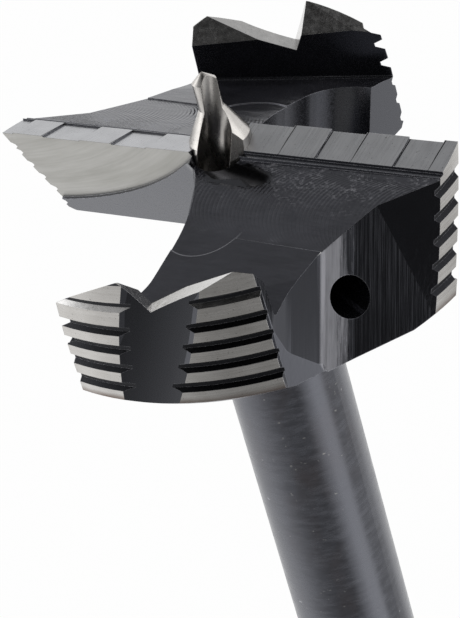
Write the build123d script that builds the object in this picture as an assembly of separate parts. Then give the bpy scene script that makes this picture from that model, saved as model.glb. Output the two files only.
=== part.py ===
from build123d import *
import math
import os

os.makedirs("parts", exist_ok=True)

# Forstner bit, 65 mm head. Millimetres. Upright on its shank end, +Z to the tip.
# Half A has its lip along +X; half B is half A turned by 180 degrees.

# driving dimensions
head_radius = 32.5
head_height = 18.0        # back face to the lip edges
shank_radius = 8.0
shank_length = 92.0       # shank end to the back face
shank_chamfer = 1.0
neck_fillet = 1.0         # between shank and head
back_chamfer_r = 0.8
back_chamfer_h = 0.7
tooth_rise = 0.9          # stock left above the lip level for the teeth

hook = 25.85              # lean of the lip faces and chip throats, degrees
lip_yaw = 2.2             # lip edges against the X axis, degrees
lip_offset = 4.05         # lip edge ahead of the axis
lip_land_width = 5.0
lip_land_drop = 1.1
ledge_width = 0.8
ledge_drop = 0.4          # first step behind the lip land
step_drop = 0.44          # second step, down to the milled slope
breaker_depth = 0.22
breakers_a = [(-2.3, 9.0), (14.4, 19.5), (25.5, 30.4)]
breakers_b = [(9.0, 14.4), (19.5, 25.5), (30.4, 34.0)]

grind_depth = 0.4         # ground face of the lip below the milled throat
grind_wheel_radius = 57.6
grind_wheel_at = (43.0, -39.6)

slope = 15.27             # milled slope from the lip down to the rim wall, degrees
slope_pass_end = 13.3     # far side of the lower milling pass
slope_pass_depth = 0.12
mill_radius = 6.0
plunge_at = (4.1, -10.9)

wall_turn = -70.05        # plan direction the rim wall looks outward to, degrees
wall_offset = 28.93       # axis to the rim wall at the tooth roots
wall_lean = 2.5
wall_top = -2.75          # inner edge of the tooth tops, from the lip level
strip_at = (15.28, -20.49)      # inner edge of the strip milled along the foot of the rim wall
strip_turn = 25.0         # plan direction of that edge
strip_dip = 4.0           # how much steeper the strip is than the slope
foot_fillet = 0.5
bevel_one = 54.8          # inward slope of the first tooth, degrees
bevel_two = 46.7
trail_one = (-0.421, -0.101)    # trailing slope of the first tooth, fall per mm in X and Y
trail_one_at = (11.87, -26.4)
trail_two = (-0.429, 0.512)
trail_two_at = (-0.79, -31.16)
notch_at = (6.16, -28.55, -2.77)
notch_face = (0.70, 0.55, 0.46)

pocket_x = 4.6            # end face of the rim, beside the chip throat
pocket_radius = 6.1
pocket_at = (4.4, 21.9)
throat_corner = 3.0
core_foot_radius = 10.2   # core that the throats leave round the bore
core_neck_radius = 4.9
core_neck_level = -6.5
core_top_radius = 4.4
core_top_level = -3.2

groove_pitch = 2.856
groove_width = 1.43
groove_depth = 0.55
groove_floor = 0.5        # width of the flat at the bottom
groove_first = -3.115     # centre of the ring groove, from the lip level
groove_zero = 0.0         # plan angle where the spiral leaves the ring
groove_count = 4
lands = [(-20.0, 15.0), (-75.0, -44.0), (-104.0, -75.0), (-200.0, -165.0), (-255.0, -224.0), (-284.0, -255.0)]

rib_end_at = (21.07, -24.75)    # plan point where the first ribbed land ends
rib_end_turns = (98.5, 60.0)    # plan directions of its end face and of the flat beside it
rib_end_width = 0.6
scallop_radius = 12.3
scallop_top = (-69.2, 1.2)      # plan angle, depth into the rim at the lip level
scallop_foot = (-80.6, 0.62)    # the same at the back face

bore_radius = 4.0
bore_depth = 30.0         # below the lip level
screw_angle = -28.2
screw_level = -11.3       # axis of the set-screw hole, from the lip level
screw_hole_radius = 2.55
screw_radius = 2.5
screw_length = 8.0
hex_across = 3.0
hex_depth = 3.5

point_gap = 0.02          # centre point against its bore
point_height = 9.6        # tip above the lip level
pilot_radius = 1.6
pilot_base = 4.45
point_shoulder = 0.2
point_angle = 50.0        # half of the tip angle
flute_radius = 2.2
flute_offset = 3.05
flute_bottom = -6.5
flute_top = 10.5
flute_start = -110.0      # plan angle of the flute at its lower end
flute_turn = 105.0        # over the flute's whole length
web_thinning = 0.35       # how much nearer to the axis the flute comes at its upper end
heel_at = ((2.73, -1.10, 2.7), (3.88, -0.34, -1.6))     # flat on each land and the step at its foot
heel_face = (0.648, -0.753, 0.115)
heel_floor = (0.210, -0.833, 0.512)

lip_level = shank_length + head_height
top_level = lip_level + tooth_rise
big = 90.0


def above(at, normal):
    """Half-space block on the plane through a point, on the side its normal shows."""
    return Plane(origin=at, z_dir=normal) * Box(big, big, big, align=(Align.CENTER, Align.CENTER, Align.MIN))


def on_lip(x, y, z):
    return (x, y, lip_level + z)


def half_turn(shape):
    return Rot(0, 0, 180) * shape


def above_slope(at, z, falls):
    """Block above a sloped plane given by its fall per mm in X and Y."""
    return above(on_lip(at[0], at[1], z), (falls[0], falls[1], 1.0))


# blank: head and shank in one turned piece
outline = Polyline(
    (0, 0), (shank_radius - shank_chamfer, 0), (shank_radius, shank_chamfer),
    (shank_radius, shank_length - neck_fillet),
)
neck = RadiusArc(
    (shank_radius, shank_length - neck_fillet), (shank_radius + neck_fillet, shank_length), neck_fillet,
)
rest = Polyline(
    (shank_radius + neck_fillet, shank_length), (head_radius - back_chamfer_r, shank_length),
    (head_radius, shank_length + back_chamfer_h), (head_radius, top_level), (0, top_level), (0, 0),
)
blank = revolve(Plane.XZ * make_face(outline + neck + rest), Axis.Z)

# grooves round the rim: one ring, then one right-hand spiral that starts from it
groove_flare = (groove_width - groove_floor) / (2 * groove_depth)
groove_clear = 0.5        # how far the cutter stands outside the rim
groove_half = groove_width / 2 + groove_clear * groove_flare


def groove(level, start, end):
    """One groove with sloped sides over part of the rim."""
    inner = head_radius - groove_depth
    outer = head_radius + groove_clear
    cut = Plane.XZ * Pos(0, lip_level + level) * make_face(Polyline(
        (inner, -groove_floor / 2), (outer, -groove_half), (outer, groove_half),
        (inner, groove_floor / 2), (inner, -groove_floor / 2)))
    return Rot(0, 0, start) * revolve(cut, Axis.Z, revolution_arc=end - start)


body = blank
for start, end in lands:
    middle = (start + end) / 2
    turned = (groove_zero - middle) / 360
    body = body - groove(groove_first, start, end)
    first = 0 if turned > 0.3 else 1
    for count in range(first, groove_count + 1):
        body = body - groove(groove_first - (count + turned) * groove_pitch, start, end)

# chip throat in front of lip A, milled along the leaned lip face
lean = math.radians(hook)
throat_dir = (0, math.sin(lean), math.cos(lean))
throat_plane = Plane(origin=on_lip(0, 0, 0), x_dir=(1, 0, 0), z_dir=throat_dir)
yaw = math.radians(lip_yaw)


def face_line(x, extra=0.0):
    """Lip face in the throat plane, plus what the grinding takes off."""
    return (lip_offset + x * math.tan(yaw)) * math.cos(lean) + extra


px, pv = pocket_at
wall_x = px - pocket_radius
arc_radius = 22.0
arc_x = wall_x + arc_radius
arc_v = 17.0
corner_v = face_line(2.5, grind_depth)
corner_x = arc_x - math.sqrt(arc_radius ** 2 - (arc_v - corner_v) ** 2)
mid_x = arc_x - arc_radius * math.cos(0.33)
mid_v = arc_v - arc_radius * math.sin(0.33)
pocket_v = pv + math.sqrt(pocket_radius ** 2 - (pocket_x - px) ** 2)
pocket_mid = (px - pocket_radius * math.cos(0.7), pv + pocket_radius * math.sin(0.7))
throat_outline = [
    Line((60, face_line(60, grind_depth)), (corner_x, face_line(corner_x, grind_depth))),
    ThreePointArc((corner_x, face_line(corner_x, grind_depth)), (mid_x, mid_v), (wall_x, arc_v)),
    Line((wall_x, arc_v), (wall_x, pv)),
    ThreePointArc((wall_x, pv), pocket_mid, (pocket_x, pocket_v)),
    Polyline((pocket_x, pocket_v), (pocket_x, 70), (60, 70), (60, face_line(60, grind_depth))),
]
throat_face = make_face(throat_outline)
corner = throat_face.vertices().sort_by_distance((corner_x, corner_v, 0))[0]
throat_face = fillet(corner, throat_corner)
throat = extrude(throat_plane * throat_face, amount=40, both=True)
head_space = Pos(0, 0, shank_length) * Box(200, 200, 60, align=(Align.CENTER, Align.CENTER, Align.MIN))
core = revolve(Plane.XZ * make_face(Polyline(
    (0, shank_length - 1), (core_foot_radius, shank_length - 1), (core_foot_radius, shank_length),
    (core_neck_radius, lip_level + core_neck_level), (core_top_radius, lip_level + core_top_level),
    (0, lip_level + core_top_level), (0, shank_length - 1))), Axis.Z)
throat = (throat & head_space) - core

# ground lip face, left by the side of a wheel
wheel_tilt = Plane(origin=on_lip(0, lip_offset, 0), x_dir=(math.cos(yaw), math.sin(yaw), 0),
                   z_dir=(-math.sin(yaw) * math.cos(lean), math.cos(yaw) * math.cos(lean), -math.sin(lean)))
wheel = wheel_tilt * Pos(grind_wheel_at[0], grind_wheel_at[1], 0) * Cylinder(
    grind_wheel_radius, 1.3, align=(Align.CENTER, Align.CENTER, Align.MIN))

# lip land, ledge and step behind it
land_slope = lip_land_drop / lip_land_width
land_back = lip_offset - lip_land_width
ledge_back = land_back - ledge_width
land_z = -lip_land_drop
side = make_face(Polyline(
    (lip_offset + 4, 4 * land_slope), (land_back, land_z), (land_back, land_z - ledge_drop),
    (ledge_back, land_z - ledge_drop), (ledge_back, land_z - ledge_drop - step_drop),
    (ledge_back, 6), (lip_offset + 4, 6), (lip_offset + 4, 4 * land_slope)))
side_plane = Plane(origin=on_lip(0, 0, 0), x_dir=(0, 1, 0), z_dir=(1, 0, 0))
land = Pos(-2.3, 0, 0) * extrude(side_plane * side, amount=60)
land = Rot(0, 0, lip_yaw) * land


def breaker(start, end):
    """One shallow step across the lip land."""
    tilt = math.degrees(math.atan(land_slope))
    block = Box(end - start, 9, 3, align=(Align.MIN, Align.CENTER, Align.MIN))
    seat = Pos(start, lip_offset - lip_land_width / 2 + 2.0, lip_level + (2.0 - lip_land_width / 2) * land_slope
               - breaker_depth)
    return Rot(0, 0, lip_yaw) * seat * Rot(tilt, 0, 0) * block


# milled slope behind the lip, down to the wall of the rim
rise = math.tan(math.radians(slope))
slope_z = land_z - ledge_drop - step_drop
behind = Rot(0, 0, lip_yaw) * Pos(-2.3, ledge_back, lip_level - 20) * Box(
    60, 60, 40, align=(Align.MIN, Align.MAX, Align.MIN))
behind += Pos(0, -10, lip_level) * Box(24, 40, 40, align=(Align.CENTER, Align.MAX, Align.CENTER))
wall_rad = math.radians(wall_turn)
outward = (math.cos(wall_rad), math.sin(wall_rad))
wall_point = (wall_offset * outward[0], wall_offset * outward[1])
tan_lean = math.tan(math.radians(wall_lean))
wall_normal = Vector(outward[0], outward[1], -tan_lean).normalized()
wall_block = above(on_lip(wall_point[0], wall_point[1], wall_top), wall_normal)
milled = above(on_lip(0, ledge_back, slope_z), (0, -rise, 1)) & behind
pass_level = above(on_lip(0, ledge_back, slope_z - slope_pass_depth), (0, -rise, 1)) & behind
pass_area = Pos(0, -slope_pass_end, lip_level) * Box(80, 80, 60, align=(Align.CENTER, Align.MIN, Align.CENTER))
plunge = Pos(plunge_at[0], plunge_at[1], lip_level - 10) * Cylinder(mill_radius, 30)
lower_pass = pass_level & (pass_area + plunge)

# strip milled a little steeper along the foot of the rim wall, with a fillet in the corner
strip_rad = math.radians(strip_turn)
strip_edge = Vector(math.cos(strip_rad), math.sin(strip_rad), rise * math.sin(strip_rad)).normalized()
strip_point = on_lip(strip_at[0], strip_at[1], slope_z + (strip_at[1] - ledge_back) * rise)
strip_normal = Vector(0, -rise, 1).normalized().rotate(Axis((0, 0, 0), strip_edge), strip_dip)
wall_top_point = Vector(on_lip(wall_point[0], wall_point[1], wall_top))
foot_line = strip_normal.cross(wall_normal).normalized()
to_foot = foot_line.cross(wall_normal).normalized()
foot_drop = (Vector(strip_point) - wall_top_point).dot(strip_normal) / to_foot.dot(strip_normal)
foot_plane = Plane(origin=wall_top_point + to_foot * foot_drop, x_dir=wall_normal * -1, z_dir=foot_line)
up = 1 if foot_plane.y_dir.Z > 0 else -1
web = make_face(Polyline((0, 0), (foot_fillet, 0), (foot_fillet, foot_fillet * up), (0, foot_fillet * up), (0, 0)))
web -= Pos(foot_fillet, foot_fillet * up) * Circle(foot_fillet)
web = extrude(foot_plane * web, amount=40, both=True)
milled = milled - wall_block - web
strip = (above(strip_point, strip_normal) & behind) - wall_block - web

# tooth tops
beyond_wall = above(on_lip(wall_point[0] - 0.6 * outward[0], wall_point[1] - 0.6 * outward[1], wall_top),
                    (outward[0], outward[1], -tan_lean))


def bevel(angle):
    run = math.tan(math.radians(angle))
    return above(on_lip(wall_point[0], wall_point[1], wall_top), (-outward[0] * run, -outward[1] * run, 1))


notch_side = above(on_lip(*notch_at), notch_face)
tooth_one = (bevel(bevel_one) + above_slope(trail_one_at, wall_top, trail_one)) & beyond_wall & notch_side
tooth_two = ((bevel(bevel_two) + above_slope(trail_two_at, wall_top, trail_two)) & beyond_wall) - notch_side

# relief wall behind the lip, with the set-screw hole in it
relief_dir = Vector(0.09, -0.58, -1.0).normalized()
relief_outline = make_face(Polyline(
    (34.0, 9.5), (24.2, -6.2), (21.8, -10.3), (20.35, -15.6), (20.2, -18.5), (21.4, -27.5),
    (60, -27.5), (60, 9.5), (34.0, 9.5)))
bends = [v for v in relief_outline.vertices() if v.X < 24.5 and -19 < v.Y < -5]
relief_outline = fillet(bends, 5.0)
relief = extrude(Pos(0, 0, lip_level) * relief_outline, amount=30, dir=relief_dir)
relief += extrude(Pos(0, 0, lip_level) * relief_outline, amount=10, dir=relief_dir * -1)
relief = relief - above(on_lip(32.49, -0.68, -2.0), (-0.54, 0.79, -0.288))

# end face of the first ribbed land, and the flat beside it


def along(at, length, angle):
    return (at[0] + length * math.cos(math.radians(angle)), at[1] + length * math.sin(math.radians(angle)))


rib_out = along(rib_end_at, -4, rib_end_turns[0])
rib_in = along(rib_end_at, rib_end_width, rib_end_turns[0])
flat_in = along(rib_in, 5, rib_end_turns[1])
rib_end = make_face(Polyline(rib_out, rib_in, flat_in, (45, flat_in[1]), (45, rib_out[1]), rib_out))
relief += Pos(0, 0, lip_level) * extrude(rib_end, amount=30, both=True)

# scallop between the two ribbed lands of the rim


def scallop_point(spec, z):
    reach = head_radius - spec[1] + scallop_radius
    return Vector(reach * math.cos(math.radians(spec[0])), reach * math.sin(math.radians(spec[0])), lip_level + z)


upper = scallop_point(scallop_top, 0.0)
lower = scallop_point(scallop_foot, -head_height)
scallop_axis = Plane(origin=lower, z_dir=upper - lower)
scallop = scallop_axis * Pos(0, 0, -8) * Cylinder(
    scallop_radius, 40, align=(Align.CENTER, Align.CENTER, Align.MIN))

half_a = [throat, wheel, land, milled, lower_pass - wall_block, strip, tooth_one, tooth_two, relief, scallop]
for tool in half_a:
    body = body - tool
for tool in half_a:
    body = body - half_turn(tool)
for start, end in breakers_a:
    body = body - breaker(start, end)
for start, end in breakers_b:
    body = body - half_turn(breaker(start, end))

bore = Pos(0, 0, lip_level - bore_depth) * Cylinder(bore_radius, bore_depth + 5, align=(
    Align.CENTER, Align.CENTER, Align.MIN))
body = body - bore
screw_rad = math.radians(screw_angle)
screw_line = Plane(origin=on_lip(0, 0, screw_level), z_dir=(math.cos(screw_rad), math.sin(screw_rad), 0))
body = body - screw_line * Cylinder(screw_hole_radius, 40, align=(Align.CENTER, Align.CENTER, Align.MIN))

# set screw, pressed against the shank of the centre point
screw = Cylinder(screw_radius, screw_length, align=(Align.CENTER, Align.CENTER, Align.MIN))
socket = extrude(RegularPolygon(hex_across / 2, 6, major_radius=False), amount=hex_depth)
screw = screw - Pos(0, 0, screw_length - hex_depth) * socket
screw = screw_line * Pos(0, 0, bore_radius) * screw

# centre point
tip_drop = pilot_radius / math.tan(math.radians(point_angle))
point_radius = bore_radius - point_gap
point_face = make_face(Polyline(
    (0, lip_level - bore_depth), (point_radius - 0.5, lip_level - bore_depth),
    (point_radius, lip_level - bore_depth + 0.5), (point_radius, lip_level + point_shoulder),
    (pilot_radius, lip_level + pilot_base), (pilot_radius, lip_level + point_height - tip_drop),
    (0, lip_level + point_height), (0, lip_level - bore_depth)))
point = revolve(Plane.XZ * point_face, Axis.Z)
heel = above(on_lip(*heel_at[0]), heel_face) & above(on_lip(*heel_at[1]), heel_floor)
flute_steps = 6
sections = []
for step in range(flute_steps + 1):
    share = step / flute_steps
    reach = flute_offset - web_thinning * share ** 4
    middle = along((0, 0), reach, flute_start + flute_turn * share)
    level = lip_level + flute_bottom + (flute_top - flute_bottom) * share
    sections.append(Pos(middle[0], middle[1], level) * Circle(flute_radius))
flute = loft(sections)
for turn in (0, 180):
    point = point - Rot(0, 0, turn) * flute - Rot(0, 0, turn) * heel

export_step(body, "parts/body.step")
export_step(point, "parts/center_point.step")
export_step(screw, "parts/set_screw.step")
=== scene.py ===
import math

import bpy
import numpy as np
from mathutils import Matrix, Vector

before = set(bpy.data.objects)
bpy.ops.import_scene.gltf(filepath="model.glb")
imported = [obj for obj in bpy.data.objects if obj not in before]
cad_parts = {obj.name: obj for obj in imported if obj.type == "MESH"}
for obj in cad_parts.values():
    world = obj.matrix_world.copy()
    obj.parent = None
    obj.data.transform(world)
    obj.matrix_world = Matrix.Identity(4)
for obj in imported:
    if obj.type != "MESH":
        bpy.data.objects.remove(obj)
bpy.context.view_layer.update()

# Looks of the forstner bit: a black oxide milled head and shank, with bright ground lands,
# a ground centre point and a black set screw. The CAD nodes are shown as they are, and each
# face of the body takes the finish of the operation that cut it.

MM = 0.001

# the part's own sizes in millimetres and degrees, with z from the shank end
LIP_LEVEL = 110.0
BACK_FACE = 92.0
HEAD_RADIUS = 32.5
SHANK_RADIUS = 8.0
NECK_FILLET = 1.0
LIP_OFFSET = 4.05                           # of the lip edge ahead of the axis
LIP_YAW = 2.2                               # of the lip edge against the X axis
HOOK = 25.85                                # lean of the lip face
MILL_RADIUS = 6.0
MILL_LINE = -7.3                            # y of the end mill's path along the lip
PLUNGE_AT = (4.1, -10.9)                    # x and y where the end mill plunged
WHEEL_CENTRE = (42.3, 22.95, 35.6)          # of the lip face's grinding wheel, with z from the lip level
RELIEF_RUN = (0.09, -0.58)                  # x and y that the relief wall's cutter ran for each mm it sank
BREAKER_LINES = (9.0, 14.4, 19.5, 25.5, 30.4)     # x where each step of the chip breaker ends

# where each finish of the body lies, on half A
SLOPE_FALL = (-0.4, -0.2)                   # y part of the slope's unit normal
LAND_FALL = (-0.24, -0.19)                  # y part of the lip land's unit normal
LAND_DEPTH = 1.6                            # lowest point of the lip land below the lip level
LAND_MIDDLE = 1.6                           # y of the lip land's middle
LAND_REACH = 4.6                            # how far the lip land reaches from there
WALL_INNER_RADIUS = 18.0
SCALLOP_TURN = (-92.0, -58.0)               # turn about the axis
RIM_INNER_RADIUS = 31.0                     # of the band that holds the scallop and the chamfer
RIM_SKIN = 0.12
GROOVE_SKIN = 0.6
GROOVES_ABOVE_BACK = 0.8
GROOVES_BELOW_LIP = 2.0
LIP_FACE_SKIN = 0.15
TOOTH_DEPTH = 5.6
TOOTH_INNER_RADIUS = 25.0
TOOTH_REACH = 23.0                          # furthest x of the teeth

# marks on the surfaces, in millimetres on half A, with z from the lip level
ARC_SPACING = 0.6
# painted highlight along the edge of the end mill's plunge ring
PLUNGE_HIGHLIGHT_WIDTH = 0.24
PLUNGE_HIGHLIGHT_FROM = (-12.0, -14.5)           # y where the line begins and where it is full
# width of each painted shade line at the chip breaker's steps
BREAKER_SHADE_WIDTH = 0.16
STAIN_AT = (4.6, -3.9)
STAIN_REACH = (5.3, 1.9)
STAIN_RAGGED = 0.9                          # how far the noise moves the edge, as a share of the reach
STAIN_EDGE = (1.52, 1.34)                   # where the stain begins and is full, with the noise added
RUB_BAND = (-4.0, -1.8)                     # z where the rubbed specks begin and where they are full
# the streaks are a painted highlight on the relief wall
HIGHLIGHT_STREAKS_FROM = (21.75, 21.9)                # x at the lip level where the streaks begin and are full
HIGHLIGHT_STREAKS_TO = (22.6, 21.6)                   # x where they end and are full, with the noise taken off
HIGHLIGHT_STREAKS_RAGGED = 2.6                        # how far the noise moves that end
BROWN_EDGE = (0.9, 1.9)                     # height where the brown fades and ends, with the noise added
BROWN_RAGGED = 0.8                          # how far the noise moves that edge

# black oxide, and the steel that shows where it has worn off and in the painted highlights
OXIDE_IOR = 2.1
OXIDE_SHEEN = "#eef1ff"
WORN_AND_HIGHLIGHT_STEEL = "#b3b3b9"
CHUCK_WORN_STEEL = "#a5a4a3"
RUBBED_AND_HIGHLIGHT_ROUGHNESS = 0.45
STAIN_COLOUR = "#010101"
STAIN_ROUGHNESS = 0.08
SPECK_COLOUR = "#4c4a48"
OXIDE_EDGE = 0.10                           # radius in millimetres that an edge is rounded to
GROUND_EDGE = 0.08
SHANK_EDGE = 0.12
EDGE_SAMPLES = 6
EDGE_WEAR = (0.985, 0.86)                   # cosine of the rounding where wear begins and where it is full

# how the halves are folded together: the axis that tells them apart, and its sign on half A
FOLD_BY_X = (0, 1.0)
FOLD_BY_Y = (1, -1.0)

# studio as the steel mirrors it. A window is four azimuths in degrees: where it begins, is full,
# starts to fade and ends. A change is what it adds to a brightness of 1.
TABLE_CHANGES = (
    ((-150, -66, -42, -16), -0.8),          # dark where the photographer stands
    ((-20, -8, 6, 20), 0.4),                # a bright strip to the right of that
    ((8, 22, 45, 75), -0.45),               # dimmer further right
)
FAR_WINDOW = (-22, -12, 24, 40)             # dimmer far off on the right
FAR_CHANGE = -0.75
FAR_DISTANCE = (250, 500)                   # in millimetres, where that begins and where it is full
WALL_WINDOW = (-130, -100, -14, -6)         # dark behind the photographer
WALL_CHANGE = -0.95
DOME_HEIGHTS = (0.16, 0.52)                 # height of a direction, 1 overhead, where the dome turns grey
DOME_GREY = 0.45
ZENITH_HEIGHTS = (0.62, 1.0)                # and over which it darkens once more
ZENITH_GREY = 0.2
CAMERA_WHITE = 0.97
MIRRORED_WHITE = 0.9
EVEN_LIGHT = 0.6
WHITE = (1, 1, 1, 1)

# floor and lamps, in metres
FLOOR_RADIUS = 3.0
FLOOR_LEVEL = -0.0002
FLOOR_RINGS = 12
FLOOR_TURNS = 64
LAMP_AIM = (0, 0, 0.1)
LAMP_DISTANCE = 0.9

# camera at the photograph's view, in millimetres and degrees
CAMERA_PLACE = (194.24, -220.02, 274.92)
CAMERA_TARGET = (-3.60, -3.29, 84.62)
CAMERA_ROLL = -16.35
PHOTO_WIDTH = 460
FOCAL_PIXELS = 2659.26
SENSOR_WIDTH = 36.0


def colour(text):
    """Linear colour from an sRGB hex value such as #8a8886."""
    parts = [int(text[i:i + 2], 16) / 255 for i in (1, 3, 5)]
    return tuple(c / 12.92 if c <= 0.04045 else ((c + 0.055) / 1.055) ** 2.4 for c in parts) + (1.0,)


def add(tree, kind, inputs=None, **settings):
    """Adds one node with its settings. An input that is a node or socket is linked, another fills it."""
    made = tree.nodes.new("ShaderNode" + kind)
    for name, value in settings.items():
        setattr(made, name, value)
    for name, value in (inputs or {}).items():
        if isinstance(value, bpy.types.Node):
            value = value.outputs[0]
        if isinstance(value, bpy.types.NodeSocket):
            tree.links.new(value, made.inputs[name])
        else:
            made.inputs[name].default_value = value
    return made


def start_material(name):
    """A new material with its tree, its shader and the place of each point in millimetres."""
    made = bpy.data.materials.new(name)
    made.use_nodes = True
    tree = made.node_tree
    object_place = add(tree, "TexCoord").outputs["Object"]
    place = add(tree, "VectorMath", {0: object_place, "Scale": 1 / MM}, operation="SCALE")
    return made, tree, tree.nodes["Principled BSDF"], place


def half_place(tree, place, fold=FOLD_BY_Y):
    """x, y and z of a place, turned onto half A by the half turn that the two halves share.
    z counts from the lip level."""
    axis, sign_on_a = fold
    split = add(tree, "SeparateXYZ", {0: place})
    side = add(tree, "Math", {0: split.outputs[axis], 1: sign_on_a}, operation="MULTIPLY")
    sign = add(tree, "Math", {0: side}, operation="SIGN")
    x = add(tree, "Math", {0: split.outputs[0], 1: sign}, operation="MULTIPLY")
    y = add(tree, "Math", {0: split.outputs[1], 1: sign}, operation="MULTIPLY")
    z = add(tree, "Math", {0: split.outputs[2], 1: LIP_LEVEL}, operation="SUBTRACT")
    return x, y, z


def grain(tree, place, per_mm, detail=3.0, roughness=0.55):
    """Uneven grain: noise stretched to that many grains per millimetre along x, y and z."""
    stretched = add(tree, "VectorMath", {0: place, 1: per_mm}, operation="MULTIPLY")
    noise = {"Vector": stretched, "Scale": 1.0, "Detail": detail, "Roughness": roughness}
    return add(tree, "TexNoise", noise)


def mottled_colour(tree, dark, light, grains):
    """Colour from dark to light by a sum of grains. Each is given as the grain, its low, its high and its
    share of the sum."""
    tone = None
    for one, low, high, share in grains:
        part = add(tree, "MapRange", {0: one, 1: low, 2: high, 4: share})
        tone = part if tone is None else add(tree, "Math", {0: tone, 1: part}, operation="ADD")
    return add(tree, "Mix", {0: tone, 6: colour(dark), 7: colour(light)}, data_type="RGBA").outputs[2]


def worn_edge(tree, rounded):
    """Mask that is 1 where the rounded normal leaves the true one, as the edges wear bright."""
    true = add(tree, "NewGeometry").outputs["Normal"]
    facing = add(tree, "VectorMath", {0: rounded, 1: true}, operation="DOT_PRODUCT").outputs["Value"]
    return add(tree, "MapRange", {0: facing, 1: EDGE_WEAR[0], 2: EDGE_WEAR[1]})


def finish_with(tree, shader, base, roughness, height, depth, rounded, bare=None):
    """Links a finish into the shader. The height gives a relief of that depth in millimetres on top of the
    rounded normal. bare is the mask of bare steel, which on the slope and the relief wall also holds painted
    highlights, or None where all of it is."""
    relief = add(tree, "Bump", {"Distance": depth * MM, "Height": height, "Normal": rounded})
    if bare is None:
        shader.inputs["Metallic"].default_value = 1.0
    else:
        tree.links.new(bare.outputs[0], shader.inputs["Metallic"])
        shader.inputs["IOR"].default_value = OXIDE_IOR
        shader.inputs["Specular Tint"].default_value = colour(OXIDE_SHEEN)
    tree.links.new(base, shader.inputs["Base Color"])
    tree.links.new(roughness.outputs[0], shader.inputs["Roughness"])
    tree.links.new(relief.outputs[0], shader.inputs["Normal"])


def black_oxide(name, dark, light, lines, line_depth, gloss=(0.26, 0.42), stain=None, rub_and_highlight=None, shine=0.5):
    """Hot black oxide over milled steel: near black, satin, with the cutter's lines and bright worn edges.
    lines makes the height of the cutter's lines from the tree and the place, stain makes the mask of an oily
    stain, the rub mask marks places that chips have rubbed together with painted highlights in bare steel
    colour, and shine is how strongly the oxide mirrors."""
    made, tree, shader, place = start_material(name)
    shader.inputs["Specular IOR Level"].default_value = shine
    cutter = lines(tree, place)
    cloud = grain(tree, place, (0.11, 0.11, 0.11), 4.0)
    base = mottled_colour(tree, dark, light, [(cloud, 0.3, 0.7, 0.55), (cutter, 0.2, 0.8, 0.45)])

    rounded = add(tree, "Bevel", {"Radius": OXIDE_EDGE * MM}, samples=EDGE_SAMPLES)
    chips = grain(tree, place, (3.0, 3.0, 3.0), 2.0)
    nicks = add(tree, "MapRange", {0: chips, 1: 0.35, 2: 0.6, 3: 0.15, 4: 0.9})
    worn = add(tree, "Math", {0: worn_edge(tree, rounded), 1: nicks}, operation="MULTIPLY")
    if rub_and_highlight:
        # rubbed specks join the worn edges here, together with painted highlights in bare steel colour
        worn = add(tree, "Math", {0: worn, 1: rub_and_highlight(tree, place)}, operation="MAXIMUM")
    base = add(tree, "Mix", {0: worn, 6: base, 7: colour(WORN_AND_HIGHLIGHT_STEEL)}, data_type="RGBA").outputs[2]

    grit = grain(tree, place, (5.0, 5.0, 5.0), 2.0)
    satin = add(tree, "MapRange", {0: grit, 1: 0.3, 2: 0.7, 3: gloss[0], 4: gloss[1]})
    ridge = add(tree, "Math", {0: cutter, 1: 0.5}, operation="SUBTRACT")
    roughness = add(tree, "Math", {0: ridge, 1: 0.12, 2: satin}, operation="MULTIPLY_ADD")
    if rub_and_highlight:
        roughness = add(tree, "Mix", {0: worn, 2: roughness, 3: RUBBED_AND_HIGHLIGHT_ROUGHNESS}, data_type="FLOAT")
    height = cutter
    if stain:
        dry = add(tree, "MapRange", {0: stain(tree, place), 3: 1.0, 4: 0.0})
        base = add(tree, "Mix", {0: dry, 6: colour(STAIN_COLOUR), 7: base}, data_type="RGBA").outputs[2]
        roughness = add(tree, "Mix", {0: dry, 2: STAIN_ROUGHNESS, 3: roughness}, data_type="FLOAT")
        height = add(tree, "Math", {0: cutter, 1: dry}, operation="MULTIPLY")
    finish_with(tree, shader, base, roughness, height, line_depth, rounded, worn)
    return made


def end_mill_arcs(tree, place):
    """Arcs that an end mill leaves as it feeds along the lip: waves of x plus the root of the mill's radius
    squared less the distance from its path squared. Real feed marks are about 0.15 mm apart, and these are
    drawn 0.6 mm apart so that they show."""
    x, y, z = half_place(tree, place)
    folded = add(tree, "CombineXYZ", {0: x, 1: y, 2: z})
    across = add(tree, "Math", {0: y, 1: MILL_LINE}, operation="SUBTRACT")
    square = add(tree, "Math", {0: across, 1: across}, operation="MULTIPLY")
    reach = add(tree, "Math", {0: MILL_RADIUS ** 2, 1: square}, operation="SUBTRACT")
    reach_held = add(tree, "Math", {0: reach, 1: 0.01}, operation="MAXIMUM")
    arc = add(tree, "Math", {0: reach_held}, operation="SQRT")
    along = add(tree, "Math", {0: x, 1: arc}, operation="ADD")
    wave = add(tree, "Math", {0: along, 1: 2 * math.pi / ARC_SPACING}, operation="MULTIPLY")
    wave = add(tree, "Math", {0: wave}, operation="SINE")
    cloud = grain(tree, folded, (0.25, 0.25, 0.25), 3.0)
    patches = add(tree, "MapRange", {0: cloud, 1: 0.35, 2: 0.65, 3: 0.1})
    in_path = add(tree, "MapRange", {0: reach, 1: 0.5, 2: 6.0})
    wave = add(tree, "Math", {0: wave, 1: patches}, operation="MULTIPLY")
    wave = add(tree, "Math", {0: wave, 1: in_path}, operation="MULTIPLY")
    drift = grain(tree, folded, (0.25, 0.9, 0.9), 4.0, 0.6)
    return add(tree, "Math", {0: wave, 1: 0.3, 2: drift}, operation="MULTIPLY_ADD")


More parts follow.
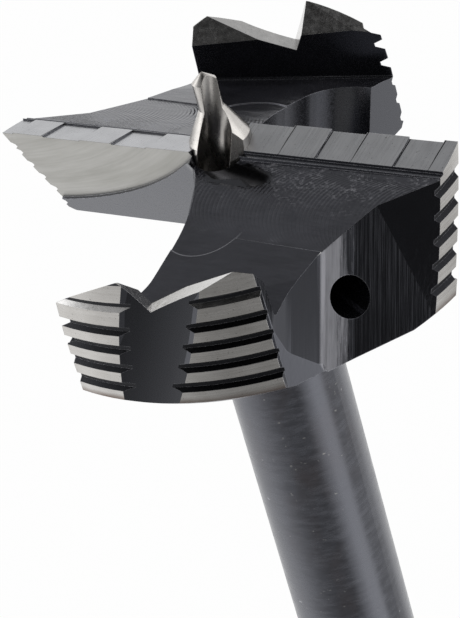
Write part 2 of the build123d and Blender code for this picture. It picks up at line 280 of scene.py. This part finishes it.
def chip_rub_and_ring_highlight(tree, place):
    """Fine bright specks where chips have rubbed the slope, full next to the lip land and gone 4 mm below the
    lip level, and a painted highlight along the edge of the ring that the end mill left where it plunged."""
    x, y, z = half_place(tree, place)
    folded = add(tree, "CombineXYZ", {0: x, 1: y, 2: z})
    band = add(tree, "MapRange", {0: z, 1: RUB_BAND[0], 2: RUB_BAND[1]})
    dots = grain(tree, folded, (1.8, 2.8, 1.8), 4.0, 0.65)
    specks = add(tree, "MapRange", {0: dots, 1: 0.50, 2: 0.68, 4: 0.6})
    cloud = grain(tree, folded, (0.3, 0.5, 0.5), 3.0)
    patches = add(tree, "MapRange", {0: cloud, 1: 0.4, 2: 0.62})
    mask = add(tree, "Math", {0: specks, 1: band}, operation="MULTIPLY")
    mask = add(tree, "Math", {0: mask, 1: patches}, operation="MULTIPLY")
    flat = add(tree, "CombineXYZ", {0: x, 1: y})
    away = add(tree, "VectorMath", {0: flat, 1: (*PLUNGE_AT, 0.0)}, operation="DISTANCE").outputs["Value"]
    # painted highlight: a bright line along the plunge ring's edge, at half strength
    ring = add(tree, "Math", {0: away, 1: MILL_RADIUS, 2: PLUNGE_HIGHLIGHT_WIDTH / 2}, operation="COMPARE")
    shown = add(tree, "MapRange", {0: y, 1: PLUNGE_HIGHLIGHT_FROM[0], 2: PLUNGE_HIGHLIGHT_FROM[1], 4: 0.5})
    ring = add(tree, "Math", {0: ring, 1: shown}, operation="MULTIPLY")
    return add(tree, "Math", {0: mask, 1: ring}, operation="MAXIMUM")


def relief_highlight_streaks(tree, place):
    """Painted highlight down the near part of the relief wall: bright streaks in bare steel colour along the
    way its cutter ran.
    """
    x, _, z = half_place(tree, place)
    across = add(tree, "Math", {0: z, 1: RELIEF_RUN[0], 2: x}, operation="MULTIPLY_ADD")
    plan = add(tree, "CombineXYZ", {0: across, 1: z})
    streaks = grain(tree, plan, (2.4, 0.10, 1.0), 4.0, 0.7)
    ragged = add(tree, "Math", {0: streaks, 1: -HIGHLIGHT_STREAKS_RAGGED, 2: across}, operation="MULTIPLY_ADD")
    start = add(tree, "MapRange", {0: across, 1: HIGHLIGHT_STREAKS_FROM[0], 2: HIGHLIGHT_STREAKS_FROM[1]})
    end = add(tree, "MapRange", {0: ragged, 1: HIGHLIGHT_STREAKS_TO[0], 2: HIGHLIGHT_STREAKS_TO[1]})
    band = add(tree, "Math", {0: start, 1: end}, operation="MULTIPLY")
    bright = add(tree, "MapRange", {0: streaks, 1: 0.4, 2: 0.6, 3: 0.65})
    return add(tree, "Math", {0: band, 1: bright}, operation="MULTIPLY")


def side_mill_lines(tree, place):
    """Straight lines down the relief wall, along the way its cutter ran."""
    x, y, z = half_place(tree, place)
    across = add(tree, "Math", {0: z, 1: RELIEF_RUN[0], 2: x}, operation="MULTIPLY_ADD")
    along = add(tree, "Math", {0: z, 1: RELIEF_RUN[1], 2: y}, operation="MULTIPLY_ADD")
    level = add(tree, "Math", {0: z, 1: 0.02}, operation="MULTIPLY")
    plan = add(tree, "CombineXYZ", {0: across, 1: along, 2: level})
    return grain(tree, plan, (2.6, 2.6, 1.0), 4.0, 0.7)


def level_lines(tree, place):
    """Fine lines round the axis, as turning leaves them."""
    return grain(tree, place, (0.12, 0.12, 6.0), 4.0, 0.65)


def upright_lines(tree, place):
    """Faint lines up the scallop, along its grinding wheel's axis."""
    return grain(tree, place, (3.0, 3.0, 0.08), 3.0, 0.6)


def fine_grain(tree, place):
    """Even fine grain of the blackened faces that show no cutter lines."""
    return grain(tree, place, (2.5, 2.5, 2.5), 3.0)


def hub_stain(tree, place):
    """Ragged oil stain, about 10 by 4 mm, on the slope between the centre point and the lip land: the
    distance from its middle, with x and y each counted in the stain's own reach, plus noise."""
    x, y, z = half_place(tree, place)
    folded = add(tree, "CombineXYZ", {0: x, 1: y, 2: z})
    centre_x, centre_y = STAIN_AT
    reach_x, reach_y = STAIN_REACH
    along = add(tree, "Math", {0: x, 1: 1 / reach_x, 2: -centre_x / reach_x}, operation="MULTIPLY_ADD")
    across = add(tree, "Math", {0: y, 1: 1 / reach_y, 2: -centre_y / reach_y}, operation="MULTIPLY_ADD")
    plan = add(tree, "CombineXYZ", {0: along, 1: across})
    away = add(tree, "VectorMath", {0: plan}, operation="LENGTH").outputs["Value"]
    ragged = grain(tree, folded, (0.55, 0.8, 0.5), 4.0)
    edge = add(tree, "Math", {0: ragged, 1: STAIN_RAGGED, 2: away}, operation="MULTIPLY_ADD")
    return add(tree, "MapRange", {0: edge, 1: STAIN_EDGE[0], 2: STAIN_EDGE[1]})


def breaker_shade_lines(tree, place):
    """Thin dark lines of painted shade across the lip land, one where each step of the chip breaker ends."""
    split = add(tree, "SeparateXYZ", {0: place})
    along = add(tree, "Math", {0: split.outputs[0]}, operation="ABSOLUTE")
    mask = None
    for line in BREAKER_LINES:
        near = add(tree, "Math", {0: along, 1: line, 2: BREAKER_SHADE_WIDTH / 2}, operation="COMPARE")
        mask = near if mask is None else add(tree, "Math", {0: near, 1: mask}, operation="ADD")
    return mask


def rim_browning(tree, place):
    """Brown heat colour at the foot of the rim, next to the back face: full for about 0.5 mm and gone by
    about 1.5 mm."""
    level = add(tree, "SeparateXYZ", {0: place}).outputs[2]
    ragged = grain(tree, place, (0.2, 0.2, 0.6), 3.0)
    height = add(tree, "Math", {0: ragged, 1: BROWN_RAGGED, 2: level}, operation="MULTIPLY_ADD")
    fade_from, fade_to = BACK_FACE + BROWN_EDGE[0], BACK_FACE + BROWN_EDGE[1]
    return add(tree, "MapRange", {0: height, 1: fade_from, 2: fade_to, 3: 0.9, 4: 0.0})


# the default dark mark colour paints the shade lines at the chip breaker's steps
def ground_steel(name, dark, light, per_mm, depth=0.003, gloss=(0.22, 0.4), mark=None, mark_colour="#1c1b1b"):
    """Bright steel left by a grinding wheel: fine lines in the wheel's direction and a few dark specks.
    mark makes a mask from the tree and the place, and mark_colour is what shows there."""
    made, tree, shader, place = start_material(name)
    lines = grain(tree, place, per_mm, 4.0, 0.7)
    cloud = grain(tree, place, (0.3, 0.3, 0.3), 3.0)
    base = mottled_colour(tree, dark, light, [(lines, 0.3, 0.7, 0.6), (cloud, 0.3, 0.7, 0.4)])
    dots = grain(tree, place, (4.0, 4.0, 4.0), 1.0)
    specks = add(tree, "MapRange", {0: dots, 1: 0.70, 2: 0.76, 4: 0.6})
    base = add(tree, "Mix", {0: specks, 6: base, 7: colour(SPECK_COLOUR)}, data_type="RGBA").outputs[2]
    if mark:
        shown = mark(tree, place)
        base = add(tree, "Mix", {0: shown, 6: base, 7: colour(mark_colour)}, data_type="RGBA").outputs[2]
    roughness = add(tree, "MapRange", {0: lines, 1: 0.3, 2: 0.7, 3: gloss[0], 4: gloss[1]})
    rounded = add(tree, "Bevel", {"Radius": GROUND_EDGE * MM}, samples=EDGE_SAMPLES)
    finish_with(tree, shader, base, roughness, lines, depth, rounded)
    return made


def ground_lip_face(name, dark, light, gloss):
    """Lip face ground by the side of a cup wheel: light grey, with arcs about the wheel's centre."""
    made, tree, shader, place = start_material(name)
    x, y, z = half_place(tree, place, FOLD_BY_X)
    folded = add(tree, "CombineXYZ", {0: x, 1: y, 2: z})
    offset = add(tree, "VectorMath", {0: folded, 1: WHEEL_CENTRE}, operation="SUBTRACT")
    away = add(tree, "VectorMath", {0: offset}, operation="LENGTH").outputs["Value"]
    drift = add(tree, "Math", {0: x, 1: 0.05}, operation="MULTIPLY")
    sweep = add(tree, "CombineXYZ", {0: away, 1: drift})
    arcs = grain(tree, sweep, (1.6, 1.6, 1.0), 5.0, 0.7)
    broad = grain(tree, sweep, (0.35, 1.5, 1.0), 3.0)
    base = mottled_colour(tree, dark, light, [(arcs, 0.3, 0.7, 0.6), (broad, 0.3, 0.7, 0.4)])
    roughness = add(tree, "MapRange", {0: arcs, 1: 0.3, 2: 0.7, 3: gloss[0], 4: gloss[1]})
    rounded = add(tree, "Bevel", {"Radius": GROUND_EDGE * MM}, samples=EDGE_SAMPLES)
    finish_with(tree, shader, base, roughness, arcs, 0.003, rounded)
    return made


def oxide_shank(name, dark, light, brown):
    """Turned shank under black oxide, worn a little by the chuck: dull dark grey with strokes round the axis,
    faint brown tints and clusters of small bright nicks."""
    made, tree, shader, place = start_material(name)
    strokes = grain(tree, place, (0.3, 0.3, 1.3), 5.0, 0.72)
    cloud = grain(tree, place, (0.14, 0.14, 0.05), 4.0)
    base = mottled_colour(tree, dark, light, [(cloud, 0.35, 0.65, 0.3), (strokes, 0.38, 0.62, 0.7)])
    haze = grain(tree, place, (0.2, 0.2, 0.09), 2.0)
    tint = add(tree, "MapRange", {0: haze, 1: 0.5, 2: 0.75, 4: 0.6})
    base = add(tree, "Mix", {0: tint, 6: base, 7: colour(brown)}, data_type="RGBA").outputs[2]

    dots = grain(tree, place, (0.8, 1.0, 1.5), 2.0, 0.5)
    nicks = add(tree, "MapRange", {0: dots, 1: 0.70, 2: 0.73, 4: 0.9})
    patches = grain(tree, place, (0.09, 0.09, 0.09), 1.0)
    clusters = add(tree, "MapRange", {0: patches, 1: 0.50, 2: 0.54})
    nicked = add(tree, "Math", {0: nicks, 1: clusters}, operation="MULTIPLY")
    rounded = add(tree, "Bevel", {"Radius": SHANK_EDGE * MM}, samples=EDGE_SAMPLES)
    edge = add(tree, "MapRange", {0: worn_edge(tree, rounded), 1: 0.2, 4: 0.6})
    bare = add(tree, "Math", {0: nicked, 1: edge}, operation="MAXIMUM")
    base = add(tree, "Mix", {0: bare, 6: base, 7: colour(CHUCK_WORN_STEEL)}, data_type="RGBA").outputs[2]

    dull = add(tree, "MapRange", {0: cloud, 1: 0.3, 2: 0.7, 3: 0.10, 4: 0.19})
    brushed = add(tree, "MapRange", {0: strokes, 1: 0.36, 2: 0.64, 4: 0.16})
    roughness = add(tree, "Math", {0: dull, 1: brushed}, operation="ADD")
    finish_with(tree, shader, base, roughness, strokes, 0.010, rounded, bare)
    return made


FINISHES = [
    # end-milled slope: charcoal with faint rings, an oil stain, rubbed specks and a painted highlight along
    # the plunge ring
    black_oxide("black_oxide_milled_slope", "#030304", "#2a2a2f", end_mill_arcs, 0.050, (0.13, 0.24),
                hub_stain, chip_rub_and_ring_highlight, shine=0.36),
    # side-milled relief wall: glossy black with straight lines and a painted highlight as bright streaks
    black_oxide("black_oxide_side_milled_wall", "#030304", "#0c0c0e", side_mill_lines, 0.016, (0.06, 0.10),
                rub_and_highlight=relief_highlight_streaks),
    # faces with no clear marks: plain satin black
    black_oxide("black_oxide_plain", "#030304", "#0b0b0d", fine_grain, 0.003, (0.18, 0.30)),
    # groove bottoms and sides: deep black that mirrors little
    black_oxide("black_oxide_groove", "#020202", "#060607", fine_grain, 0.006, (0.24, 0.38), shine=0.12),
    # ground scallop: dull blue-black
    black_oxide("black_oxide_scallop", "#050506", "#0e0f11", upright_lines, 0.003, (0.24, 0.34), shine=0.22),
    # turned back face: satin black with rings
    black_oxide("black_oxide_turned_back", "#050506", "#0f0f12", level_lines, 0.004, (0.22, 0.36)),
    # ground rim lands: bright warm grey with lines round the rim, browned at the bottom
    ground_steel("ground_rim_steel", "#bdbab6", "#dfddda", (0.10, 0.10, 5.0), 0.003, (0.18, 0.34),
                 rim_browning, "#5c4030"),
    # ground lip faces: pale satin grey with the wheel's arcs
    ground_lip_face("ground_lip_face_steel", "#96958f", "#c6c5c2", (0.34, 0.5)),
    # lip lands: cool satin grey with lines across the lip, and painted shade as thin dark lines at the chip
    # breaker's steps
    ground_steel("satin_lip_land_steel", "#a9aaad", "#c9cacd", (4.0, 0.12, 0.12), 0.002, (0.24, 0.38),
                 breaker_shade_lines),
    # hand-ground teeth: the brightest steel, with no clear direction
    ground_steel("ground_tooth_steel", "#d2d1d0", "#eeedec", (1.2, 1.2, 1.2), 0.004, (0.14, 0.28)),
    # turned shank: dull dark grey, brushed round the axis
    oxide_shank("oxide_turned_shank", "#050608", "#424348", "#2a1b12"),
    # chamfer at the back face: brown from heat
    black_oxide("browned_back_chamfer", "#2a1c14", "#3a2a20", level_lines, 0.003, (0.25, 0.4)),
]
NAMES = [finish.name for finish in FINISHES]


def face_arrays(node):
    """Mesh of a node, with the centres in millimetres and the true normals of its triangles as arrays."""
    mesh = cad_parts[node].data
    centres = np.zeros(len(mesh.polygons) * 3, np.float32)
    normals = np.zeros(len(mesh.polygons) * 3, np.float32)
    mesh.polygons.foreach_get("center", centres)
    mesh.polygons.foreach_get("normal", normals)
    return mesh, centres.reshape(-1, 3) / MM, normals.reshape(-1, 3)


def within(value, limits):
    """Where each value lies between the two limits."""
    return (value > limits[0]) & (value < limits[1])


def body_finishes():
    """Finish of each triangle of the body, told by where it lies and which way it faces. up, outward and
    sideways are parts of its unit normal, so 1 is straight that way and 0 is square to it."""
    mesh, at, facing = face_arrays("body")
    x, y, level = at.T
    up = facing[:, 2]
    radius = np.hypot(x, y)
    outward = (facing[:, :2] * at[:, :2]).sum(1) / np.maximum(radius, 1e-6)
    sideways = np.abs(facing[:, 0] * y - facing[:, 1] * x) / radius
    # sign that turns each triangle onto half A, told by y for the slope and by x for the lip
    half = np.where(y < 0, 1.0, -1.0)
    side = np.where(x > 0, 1.0, -1.0)
    turn = np.degrees(np.arctan2(y * half, x * half))
    kind = np.full(len(at), NAMES.index("black_oxide_plain"))

    def choose(name, where):
        kind[where] = NAMES.index(name)

    head = level > BACK_FACE - 0.01
    slope = head & (up > 0.9) & within(facing[:, 1] * half, SLOPE_FALL)
    choose("black_oxide_milled_slope", slope)
    land = head & (up > 0.95) & within(facing[:, 1] * side, LAND_FALL) & (level > LIP_LEVEL - LAND_DEPTH)
    choose("satin_lip_land_steel", land & (np.abs(y - side * LAND_MIDDLE) < LAND_REACH))

    wall = head & (np.abs(up) < 0.75) & (radius > WALL_INNER_RADIUS) & within(outward, (0.2, 0.995))
    choose("black_oxide_side_milled_wall", wall)
    scallop = head & (np.abs(up) < 0.25) & (radius > RIM_INNER_RADIUS) & (outward > 0.9)
    choose("black_oxide_scallop", scallop & within(turn, SCALLOP_TURN))
    rim = head & (radius > HEAD_RADIUS - RIM_SKIN) & (np.abs(up) < 0.02) & (outward > 0.99)
    choose("ground_rim_steel", rim)
    groove = head & ~rim & (radius > HEAD_RADIUS - GROOVE_SKIN) & (outward > 0.45) & (sideways < 0.03)
    groove &= within(level, (BACK_FACE + GROOVES_ABOVE_BACK, LIP_LEVEL - GROOVES_BELOW_LIP))
    choose("black_oxide_groove", groove)

    lean, yaw = math.radians(HOOK), math.radians(LIP_YAW)
    lip_normal = np.array([-math.sin(yaw) * math.cos(lean), math.cos(yaw) * math.cos(lean), -math.sin(lean)])
    turned_normal = lip_normal * np.c_[side, side, np.ones_like(side)]
    off_face = ((at - [0, 0, LIP_LEVEL]) * turned_normal).sum(1) - LIP_OFFSET * lip_normal[1]
    lip_face = ((facing * turned_normal).sum(1) > 0.999) & (np.abs(off_face) < LIP_FACE_SKIN)
    choose("ground_lip_face_steel", lip_face)

    tooth = head & ~slope & ~land & (radius > TOOTH_INNER_RADIUS) & (up > 0.3)
    tooth &= (level > LIP_LEVEL - TOOTH_DEPTH) & (np.abs(x) < TOOTH_REACH)
    choose("ground_tooth_steel", tooth)
    choose("black_oxide_turned_back", (up < -0.9) & (radius > SHANK_RADIUS))
    chamfer = within(up, (-0.95, -0.4)) & (radius > RIM_INNER_RADIUS) & (level < BACK_FACE + 1)
    choose("browned_back_chamfer", chamfer)
    choose("oxide_turned_shank", (level < BACK_FACE) & (radius < SHANK_RADIUS + NECK_FILLET))

    mesh.materials.clear()
    for finish in FINISHES:
        mesh.materials.append(finish)
    mesh.polygons.foreach_set("material_index", kind.astype(np.int32))
    mesh.update()


def single_finish(node, finish):
    """Gives a whole node one finish."""
    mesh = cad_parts[node].data
    mesh.materials.clear()
    mesh.materials.append(finish)


def between(tree, azimuth, window):
    """1 from the window's second azimuth to its third, falling smoothly to 0 at its first and fourth."""
    first, second, third, fourth = window
    rise = add(tree, "MapRange", {0: azimuth, 1: first, 2: second}, interpolation_type="SMOOTHSTEP")
    falling = {0: azimuth, 1: third, 2: fourth, 3: 1.0, 4: 0.0}
    fall = add(tree, "MapRange", falling, interpolation_type="SMOOTHSTEP")
    return add(tree, "Math", {0: rise, 1: fall}, operation="MULTIPLY")


def studio_side(tree, direction):
    """Azimuth of a direction in degrees from the X axis, and its height."""
    split = add(tree, "SeparateXYZ", {0: direction})
    angle = add(tree, "Math", {0: split.outputs[1], 1: split.outputs[0]}, operation="ARCTAN2")
    azimuth = add(tree, "Math", {0: angle, 1: 180 / math.pi}, operation="MULTIPLY")
    return azimuth, split.outputs[2]


def table_brightness(tree, place):
    """How bright the white table is as the steel mirrors it: dark where the photographer stands, with a
    bright strip to the right of that, dimmer further right, and dimmer far off on that side."""
    azimuth = studio_side(tree, place)[0]
    level = 1.0
    for window, change in TABLE_CHANGES:
        share = between(tree, azimuth, window)
        level = add(tree, "Math", {0: share, 1: change, 2: level}, operation="MULTIPLY_ADD")
    away = add(tree, "VectorMath", {0: place}, operation="LENGTH").outputs["Value"]
    far = add(tree, "MapRange", {0: away, 1: FAR_DISTANCE[0], 2: FAR_DISTANCE[1]})
    far = add(tree, "Math", {0: far, 1: between(tree, azimuth, FAR_WINDOW)}, operation="MULTIPLY")
    dim = add(tree, "Math", {0: far, 1: FAR_CHANGE, 2: 1.0}, operation="MULTIPLY_ADD")
    return add(tree, "Math", {0: level, 1: dim}, operation="MULTIPLY")


def white_table(tree, shader, place):
    """The paper's own shading, under a white glow for the camera and the table's brightness for metal."""
    rays = add(tree, "LightPath")
    glossy, through = rays.outputs["Is Glossy Ray"], rays.outputs["Is Transmission Ray"]
    mirrored = add(tree, "Math", {0: glossy, 1: through}, operation="MAXIMUM")
    share = add(tree, "Math", {0: mirrored, 1: MIRRORED_WHITE}, operation="MULTIPLY")
    seen = rays.outputs["Is Camera Ray"]
    share = add(tree, "Math", {0: seen, 1: CAMERA_WHITE, 2: share}, operation="MULTIPLY_ADD")
    strength = add(tree, "Mix", {0: mirrored, 2: 1.0, 3: table_brightness(tree, place)}, data_type="FLOAT")
    glow = add(tree, "Emission", {"Color": WHITE, "Strength": strength})
    return add(tree, "MixShader", {0: share, 1: shader.outputs[0], 2: glow})


def pale_floor():
    """A wide disc of pale paper under the shank end, worked out as a grid over radius and angle:
    x is the radius times the cosine of the angle, and y the radius times its sine."""
    rings = np.linspace(0.0, FLOOR_RADIUS, FLOOR_RINGS + 1)[1:]
    turns = np.linspace(0, 2 * np.pi, FLOOR_TURNS + 1)[:-1]
    radius, turn = np.meshgrid(rings, turns, indexing="ij")
    level = np.full_like(radius, FLOOR_LEVEL)
    points = np.stack([radius * np.cos(turn), radius * np.sin(turn), level], -1).reshape(-1, 3)
    index = np.arange(points.shape[0]).reshape(radius.shape)
    inner, outer = index[:-1], index[1:]
    faces = np.stack([inner, outer, np.roll(outer, -1, 1), np.roll(inner, -1, 1)], -1).reshape(-1, 4)
    mesh = bpy.data.meshes.new("pale_floor")
    mesh.from_pydata(points.tolist(), [], faces.tolist() + [index[0].tolist()])
    floor = bpy.data.objects.new("pale_floor", mesh)
    bpy.context.scene.collection.objects.link(floor)

    # matt white paper: nearly even, with slow changes of tone
    made, tree, shader, place = start_material("pale_paper")
    tone = grain(tree, place, (0.02, 0.02, 0.02), 3.0)
    paper = {0: tone, 6: colour("#f0f0f0"), 7: colour("#f7f7f7")}
    base = add(tree, "Mix", paper, data_type="RGBA").outputs[2]
    tree.links.new(base, shader.inputs["Base Color"])
    shader.inputs["Roughness"].default_value = 0.9
    surface = white_table(tree, shader, place)
    tree.links.new(surface.outputs[0], tree.nodes["Material Output"].inputs["Surface"])
    mesh.materials.append(made)


def studio_world():
    """White backdrop: white to the camera, even for the diffuse light, and for the steel white low down,
    grey overhead and dark behind the photographer."""
    world = bpy.data.worlds.new("studio")
    bpy.context.scene.world = world
    world.use_nodes = True
    tree = world.node_tree
    tree.nodes.clear()
    rays = add(tree, "LightPath")
    azimuth, height = studio_side(tree, add(tree, "TexCoord").outputs["Generated"])
    greying = {0: height, 1: DOME_HEIGHTS[0], 2: DOME_HEIGHTS[1], 3: 1.0, 4: DOME_GREY}
    dome = add(tree, "MapRange", greying, interpolation_type="SMOOTHSTEP")
    zenith = {0: height, 1: ZENITH_HEIGHTS[0], 2: ZENITH_HEIGHTS[1], 3: 1.0, 4: ZENITH_GREY}
    dome = add(tree, "Math", {0: dome, 1: add(tree, "MapRange", zenith)}, operation="MULTIPLY")
    wall = between(tree, azimuth, WALL_WINDOW)
    wall = add(tree, "Math", {0: wall, 1: WALL_CHANGE, 2: 1.0}, operation="MULTIPLY_ADD")
    dome = add(tree, "Math", {0: dome, 1: wall}, operation="MULTIPLY")
    glossy, seen = rays.outputs["Is Glossy Ray"], rays.outputs["Is Camera Ray"]
    strength = add(tree, "Mix", {0: glossy, 2: EVEN_LIGHT, 3: dome}, data_type="FLOAT")
    strength = add(tree, "Mix", {0: seen, 2: strength, 3: 1.0}, data_type="FLOAT")
    glow = add(tree, "Background", {"Color": WHITE, "Strength": strength})
    add(tree, "OutputWorld", {"Surface": glow})


def soft_box(name, azimuth, elevation, size, power):
    """Square area lamp that looks at the head from that side, in degrees, metres and watts."""
    lamp = bpy.data.lights.new(name, "AREA")
    lamp.shape = "SQUARE"
    lamp.size = size
    lamp.energy = power
    holder = bpy.data.objects.new(name, lamp)
    bpy.context.scene.collection.objects.link(holder)
    turn, tilt = math.radians(azimuth), math.radians(elevation)
    away = Vector((math.cos(turn) * math.cos(tilt), math.sin(turn) * math.cos(tilt), math.sin(tilt)))
    holder.location = Vector(LAMP_AIM) + away * LAMP_DISTANCE
    holder.rotation_euler = away.to_track_quat("Z", "Y").to_euler()


def photo_camera():
    """Camera at the photograph's place, turned about its own axis by the roll of the picture."""
    data = bpy.data.cameras.new("photo_view")
    data.sensor_fit = "HORIZONTAL"
    data.sensor_width = SENSOR_WIDTH
    data.lens = FOCAL_PIXELS * SENSOR_WIDTH / PHOTO_WIDTH
    data.clip_start = 0.01
    data.clip_end = 20
    camera = bpy.data.objects.new("photo_view", data)
    bpy.context.scene.collection.objects.link(camera)
    place = Vector(CAMERA_PLACE) * MM
    away = place - Vector(CAMERA_TARGET) * MM
    level = away.to_track_quat("Z", "Y").to_matrix().to_4x4()
    roll = Matrix.Rotation(math.radians(CAMERA_ROLL), 4, "Z")
    camera.matrix_world = Matrix.Translation(place) @ level @ roll
    bpy.context.scene.camera = camera


# ground centre point: bright warm steel with faint lines along it
point_steel = ground_steel("ground_point_steel", "#b4b0ac", "#dcd9d5", (0.6, 0.6, 0.25), 0.003, (0.2, 0.34))
# blackened set screw, deep in its hole: dull and even
screw_oxide = black_oxide("black_oxide_screw", "#232326", "#2f2f33", fine_grain, 0.003, (0.3, 0.45))

body_finishes()
single_finish("center_point", point_steel)
single_finish("set_screw", screw_oxide)

pale_floor()
studio_world()
soft_box("left_box", -165, 22, 0.6, 1.2)
soft_box("right_box", 35, 30, 0.5, 0.7)
soft_box("top_box", 120, 70, 0.5, 0.15)
photo_camera()
bpy.context.scene.view_settings.view_transform = "Standard"
